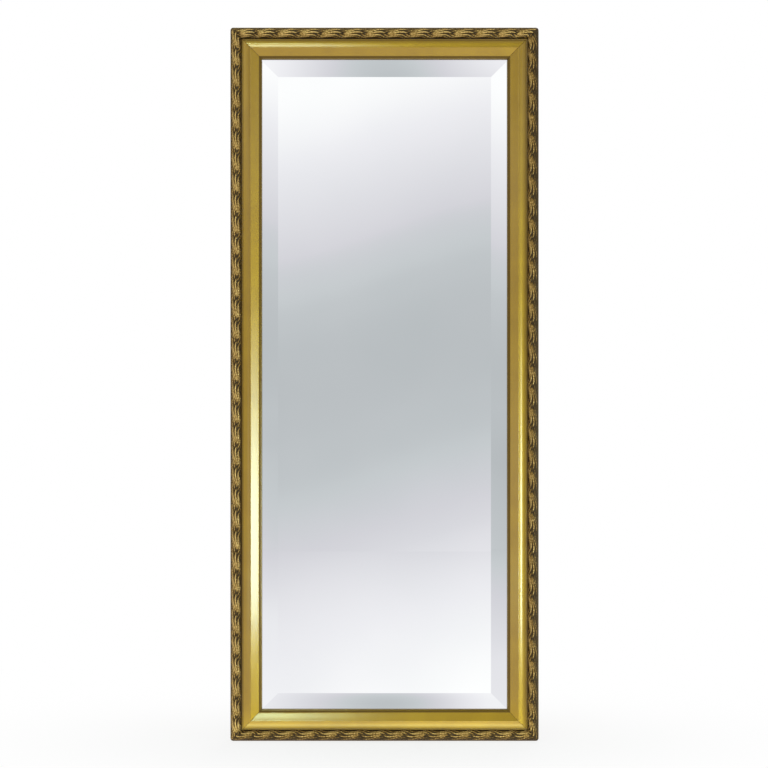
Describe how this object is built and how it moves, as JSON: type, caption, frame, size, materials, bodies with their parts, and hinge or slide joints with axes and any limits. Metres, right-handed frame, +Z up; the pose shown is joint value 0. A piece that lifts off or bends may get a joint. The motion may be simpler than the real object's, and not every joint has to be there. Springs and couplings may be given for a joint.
{
  "type": "dressing mirror",
  "caption": "Tall bevelled wall mirror in a gilt wooden frame with a leaf band along its outer edge, with turn buttons and hanging rings on the back.",
  "frame": {"origin": "on the wall, midway between the two hanging rings", "axes": "front faces -Y, +X to the viewer's right, +Z up"},
  "size_m": [0.56, 0.034, 1.296],
  "materials": {
    "gilt_moulding": "satin gold leaf over bole on wood",
    "gilt_leaf": "bronze gilt with dark toning in the hollows, pressed composition",
    "silvered_glass": "polished, silvered on the back",
    "black_felt": "matt",
    "softwood_block": "sawn",
    "grey_card": "matt",
    "birch_plywood": "sanded",
    "bright_steel": "bright",
    "zinc_steel": "zinc plated",
    "brassed_steel": "brass plated",
    "black_rubber": "matt"
  },
  "bodies": {
    "frame": {"top_rail": "gilt_moulding", "bottom_rail": "gilt_moulding", "left_stile": "gilt_moulding", "right_stile": "gilt_moulding", "top_leaf_band": "gilt_leaf", "bottom_leaf_band": "gilt_leaf", "left_leaf_band": "gilt_leaf", "right_leaf_band": "gilt_leaf", "bevelled_mirror": "silvered_glass", "rebate_felt": "black_felt", "setting_blocks": "softwood_block", "side_spacers": "softwood_block", "top_spacers": "softwood_block", "packing_sheet": "grey_card", "backboard": "birch_plywood", "mitre_v_nails": "bright_steel", "top_left_corner_plate": "zinc_steel", "top_right_corner_plate": "zinc_steel", "bottom_left_corner_plate": "zinc_steel", "bottom_right_corner_plate": "zinc_steel", "corner_plate_screws": "zinc_steel", "left_hanger_strap": "zinc_steel", "right_hanger_strap": "zinc_steel", "hanger_screws": "zinc_steel", "turn_button_screws": "brassed_steel", "top_left_wall_bumper": "black_rubber", "top_right_wall_bumper": "black_rubber", "bottom_left_wall_bumper": "black_rubber", "bottom_right_wall_bumper": "black_rubber"},
    "top_turn_button": {"top_turn_button": "brassed_steel"},
    "bottom_turn_button": {"bottom_turn_button": "brassed_steel"},
    "left_upper_turn_button": {"left_upper_turn_button": "brassed_steel"},
    "right_upper_turn_button": {"right_upper_turn_button": "brassed_steel"},
    "left_middle_turn_button": {"left_middle_turn_button": "brassed_steel"},
    "right_middle_turn_button": {"right_middle_turn_button": "brassed_steel"},
    "left_lower_turn_button": {"left_lower_turn_button": "brassed_steel"},
    "right_lower_turn_button": {"right_lower_turn_button": "brassed_steel"},
    "left_d_ring": {"left_d_ring": "zinc_steel"},
    "right_d_ring": {"right_d_ring": "zinc_steel"}
  },
  "joints": [
    {"name": "top_button_turn", "type": "hinge", "parent": "frame", "child": "top_turn_button", "pos_m": [0, -0.0056, 0.289], "axis": [0, 1, 0], "continuous": true},
    {"name": "bottom_button_turn", "type": "hinge", "parent": "frame", "child": "bottom_turn_button", "pos_m": [0, -0.0056, -0.925], "axis": [0, 1, 0], "continuous": true},
    {"name": "left_upper_button_turn", "type": "hinge", "parent": "frame", "child": "left_upper_turn_button", "pos_m": [-0.239, -0.0056, 0.12], "axis": [0, 1, 0], "continuous": true},
    {"name": "right_upper_button_turn", "type": "hinge", "parent": "frame", "child": "right_upper_turn_button", "pos_m": [0.239, -0.0056, 0.12], "axis": [0, 1, 0], "continuous": true},
    {"name": "left_middle_button_turn", "type": "hinge", "parent": "frame", "child": "left_middle_turn_button", "pos_m": [-0.239, -0.0056, -0.318], "axis": [0, 1, 0], "continuous": true},
    {"name": "right_middle_button_turn", "type": "hinge", "parent": "frame", "child": "right_middle_turn_button", "pos_m": [0.239, -0.0056, -0.318], "axis": [0, 1, 0], "continuous": true},
    {"name": "left_lower_button_turn", "type": "hinge", "parent": "frame", "child": "left_lower_turn_button", "pos_m": [-0.239, -0.0056, -0.756], "axis": [0, 1, 0], "continuous": true},
    {"name": "right_lower_button_turn", "type": "hinge", "parent": "frame", "child": "right_lower_turn_button", "pos_m": [0.239, -0.0056, -0.756], "axis": [0, 1, 0], "continuous": true},
    {"name": "left_ring_swing", "type": "hinge", "parent": "frame", "child": "left_d_ring", "pos_m": [-0.236, -0.00392, 0], "axis": [0, 0, 1], "range_deg": [0, 175]},
    {"name": "right_ring_swing", "type": "hinge", "parent": "frame", "child": "right_d_ring", "pos_m": [0.236, -0.00392, 0], "axis": [0, 0, -1], "range_deg": [0, 175]}
  ]
}
